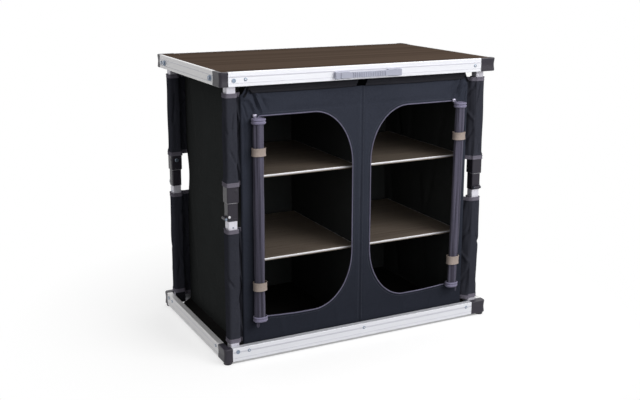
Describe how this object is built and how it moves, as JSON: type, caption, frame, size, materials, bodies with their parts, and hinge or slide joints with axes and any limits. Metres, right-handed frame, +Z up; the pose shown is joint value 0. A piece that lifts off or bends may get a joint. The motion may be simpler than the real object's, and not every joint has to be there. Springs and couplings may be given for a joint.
{
  "type": "fabric camp kitchen cupboard",
  "caption": "Folding camp kitchen cupboard: aluminium frames on four folding legs, worktop board, fabric cabinet with shelves and roll-up doors.",
  "frame": {"origin": "bottom centre of the box round the cupboard and its carrying handle", "axes": "+X to the cupboard's right as seen from the front, +Y to the rear, +Z up; the doors face -Y"},
  "size_m": [0.9, 0.5584, 0.83],
  "materials": {
    "anodised_aluminium": "satin anodised",
    "leg_aluminium": "satin anodised",
    "bright_steel": "bright",
    "charcoal_plastic": "moulded, satin",
    "black_plastic": "moulded, satin",
    "grey_plastic": "moulded, satin",
    "brown_laminate": "wood-look laminate on board",
    "black_board": "matt laminate on board",
    "slate_fabric": "coated woven polyester",
    "door_fabric": "coated woven polyester"
  },
  "bodies": {
    "bottom_frame": {"bottom_rail_front": "anodised_aluminium", "bottom_rail_right": "anodised_aluminium", "bottom_rail_rear": "anodised_aluminium", "bottom_rail_left": "anodised_aluminium", "bottom_cap_front_left": "charcoal_plastic", "bottom_cap_front_right": "charcoal_plastic", "bottom_cap_rear_right": "charcoal_plastic", "bottom_cap_rear_left": "charcoal_plastic", "bottom_pivot_bolt_front_left": "bright_steel", "bottom_pivot_bolt_front_right": "bright_steel", "bottom_pivot_bolt_rear_right": "bright_steel", "bottom_pivot_bolt_rear_left": "bright_steel", "floor_board": "black_board", "fabric_cabinet": "slate_fabric", "rolled_door_left": "door_fabric", "rolled_door_right": "door_fabric"},
    "top_frame": {"top_rail_front": "anodised_aluminium", "top_rail_right": "anodised_aluminium", "top_rail_rear": "anodised_aluminium", "top_rail_left": "anodised_aluminium", "top_cap_front_left": "charcoal_plastic", "top_cap_front_right": "charcoal_plastic", "top_cap_rear_right": "charcoal_plastic", "top_cap_rear_left": "charcoal_plastic", "top_pivot_bolt_front_left": "bright_steel", "top_pivot_bolt_front_right": "bright_steel", "top_pivot_bolt_rear_right": "bright_steel", "top_pivot_bolt_rear_left": "bright_steel", "table_board": "brown_laminate", "handle_block_left": "grey_plastic", "handle_block_right": "grey_plastic"},
    "handle_grip_body": {"handle_grip": "grey_plastic"},
    "leg_front_left_lower": {"leg_front_left_lower_tube": "leg_aluminium", "leg_front_left_knee_cap": "black_plastic"},
    "leg_front_left_upper": {"leg_front_left_upper_tube": "leg_aluminium", "leg_front_left_knee_socket": "black_plastic", "leg_front_left_knee_pin": "bright_steel"},
    "leg_front_left_button": {"leg_front_left_release_button": "bright_steel"},
    "leg_front_right_lower": {"leg_front_right_lower_tube": "leg_aluminium", "leg_front_right_knee_cap": "black_plastic"},
    "leg_front_right_upper": {"leg_front_right_upper_tube": "leg_aluminium", "leg_front_right_knee_socket": "black_plastic", "leg_front_right_knee_pin": "bright_steel"},
    "leg_front_right_button": {"leg_front_right_release_button": "bright_steel"},
    "leg_rear_right_lower": {"leg_rear_right_lower_tube": "leg_aluminium", "leg_rear_right_knee_cap": "black_plastic"},
    "leg_rear_right_upper": {"leg_rear_right_upper_tube": "leg_aluminium", "leg_rear_right_knee_socket": "black_plastic", "leg_rear_right_knee_pin": "bright_steel"},
    "leg_rear_right_button": {"leg_rear_right_release_button": "bright_steel"},
    "leg_rear_left_lower": {"leg_rear_left_lower_tube": "leg_aluminium", "leg_rear_left_knee_cap": "black_plastic"},
    "leg_rear_left_upper": {"leg_rear_left_upper_tube": "leg_aluminium", "leg_rear_left_knee_socket": "black_plastic", "leg_rear_left_knee_pin": "bright_steel"},
    "leg_rear_left_button": {"leg_rear_left_release_button": "bright_steel"},
    "shelf_lower_left_body": {"shelf_lower_left": "brown_laminate"},
    "shelf_lower_right_body": {"shelf_lower_right": "brown_laminate"},
    "shelf_upper_left_body": {"shelf_upper_left": "brown_laminate"},
    "shelf_upper_right_body": {"shelf_upper_right": "brown_laminate"}
  },
  "joints": [
    {"name": "leg_front_left_foot_hinge", "type": "hinge", "parent": "bottom_frame", "child": "leg_front_left_lower", "pos_m": [-0.409, -0.22825, 0.036], "axis": [0, 1, 0], "range_deg": [0, 88]},
    {"name": "leg_front_left_knee", "type": "hinge", "parent": "leg_front_left_lower", "child": "leg_front_left_upper", "pos_m": [-0.429, -0.22825, 0.4215], "axis": [0, -1, 0], "range_deg": [0, 176], "deforming": ["fabric_cabinet", "rolled_door_left", "rolled_door_right"]},
    {"name": "top_frame_hinge", "type": "hinge", "parent": "leg_front_left_upper", "child": "top_frame", "pos_m": [-0.409, -0.22825, 0.807], "axis": [0, 1, 0], "range_deg": [0, 88]},
    {"name": "leg_front_left_button_press", "type": "slide", "parent": "leg_front_left_upper", "child": "leg_front_left_button", "axis": [-1, 0, 0], "range_m": [0, 0.002], "stiffness_N_per_m": 900, "springref_m": -0.002},
    {"name": "leg_front_right_foot_hinge", "type": "hinge", "parent": "bottom_frame", "child": "leg_front_right_lower", "pos_m": [0.4135, -0.22375, 0.036], "axis": [-1, 0, 0], "range_deg": [0, 88]},
    {"name": "leg_front_right_knee", "type": "hinge", "parent": "leg_front_right_lower", "child": "leg_front_right_upper", "pos_m": [0.4135, -0.24375, 0.4215], "axis": [1, 0, 0], "range_deg": [0, 176]},
    {"name": "leg_front_right_button_press", "type": "slide", "parent": "leg_front_right_upper", "child": "leg_front_right_button", "axis": [0, -1, 0], "range_m": [0, 0.002], "stiffness_N_per_m": 900, "springref_m": -0.002},
    {"name": "leg_rear_right_foot_hinge", "type": "hinge", "parent": "bottom_frame", "child": "leg_rear_right_lower", "pos_m": [0.409, 0.24275, 0.036], "axis": [0, -1, 0], "range_deg": [0, 88]},
    {"name": "leg_rear_right_knee", "type": "hinge", "parent": "leg_rear_right_lower", "child": "leg_rear_right_upper", "pos_m": [0.429, 0.24275, 0.4215], "axis": [0, 1, 0], "range_deg": [0, 176]},
    {"name": "leg_rear_right_button_press", "type": "slide", "parent": "leg_rear_right_upper", "child": "leg_rear_right_button", "axis": [1, 0, 0], "range_m": [0, 0.002], "stiffness_N_per_m": 900, "springref_m": -0.002},
    {"name": "leg_rear_left_foot_hinge", "type": "hinge", "parent": "bottom_frame", "child": "leg_rear_left_lower", "pos_m": [-0.4135, 0.23825, 0.036], "axis": [1, 0, 0], "range_deg": [0, 88]},
    {"name": "leg_rear_left_knee", "type": "hinge", "parent": "leg_rear_left_lower", "child": "leg_rear_left_upper", "pos_m": [-0.4135, 0.25825, 0.4215], "axis": [-1, 0, 0], "range_deg": [0, 176]},
    {"name": "leg_rear_left_button_press", "type": "slide", "parent": "leg_rear_left_upper", "child": "leg_rear_left_button", "axis": [0, 1, 0], "range_m": [0, 0.002], "stiffness_N_per_m": 900, "springref_m": -0.002},
    {"name": "shelf_lower_left_drop", "type": "slide", "parent": "bottom_frame", "child": "shelf_lower_left_body", "axis": [0, 0, -1], "range_m": [0, 0.2557]},
    {"name": "shelf_lower_right_drop", "type": "slide", "parent": "bottom_frame", "child": "shelf_lower_right_body", "axis": [0, 0, -1], "range_m": [0, 0.2557]},
    {"name": "shelf_upper_left_drop", "type": "slide", "parent": "bottom_frame", "child": "shelf_upper_left_body", "axis": [0, 0, -1], "range_m": [0, 0.4932]},
    {"name": "shelf_upper_right_drop", "type": "slide", "parent": "bottom_frame", "child": "shelf_upper_right_body", "axis": [0, 0, -1], "range_m": [0, 0.4932]},
    {"name": "handle_pull", "type": "slide", "parent": "top_frame", "child": "handle_grip_body", "axis": [0, -1, 0], "range_m": [0, 0.008]}
  ],
  "couplings": [
    {"joint": "leg_front_left_foot_hinge", "follows": "leg_front_left_knee", "ratio": 0.5},
    {"joint": "top_frame_hinge", "follows": "leg_front_left_knee", "ratio": 0.5},
    {"joint": "leg_front_right_foot_hinge", "follows": "leg_front_left_knee", "ratio": 0.5},
    {"joint": "leg_front_right_knee", "follows": "leg_front_left_knee", "ratio": 1},
    {"joint": "leg_rear_right_foot_hinge", "follows": "leg_front_left_knee", "ratio": 0.5},
    {"joint": "leg_rear_right_knee", "follows": "leg_front_left_knee", "ratio": 1},
    {"joint": "leg_rear_left_foot_hinge", "follows": "leg_front_left_knee", "ratio": 0.5},
    {"joint": "leg_rear_left_knee", "follows": "leg_front_left_knee", "ratio": 1},
    {"joint": "shelf_lower_left_drop", "follows": "leg_front_left_knee", "m_per_rad": 0.083241},
    {"joint": "shelf_lower_right_drop", "follows": "leg_front_left_knee", "m_per_rad": 0.083241},
    {"joint": "shelf_upper_left_drop", "follows": "leg_front_left_knee", "m_per_rad": 0.16056},
    {"joint": "shelf_upper_right_drop", "follows": "leg_front_left_knee", "m_per_rad": 0.16056}
  ]
}
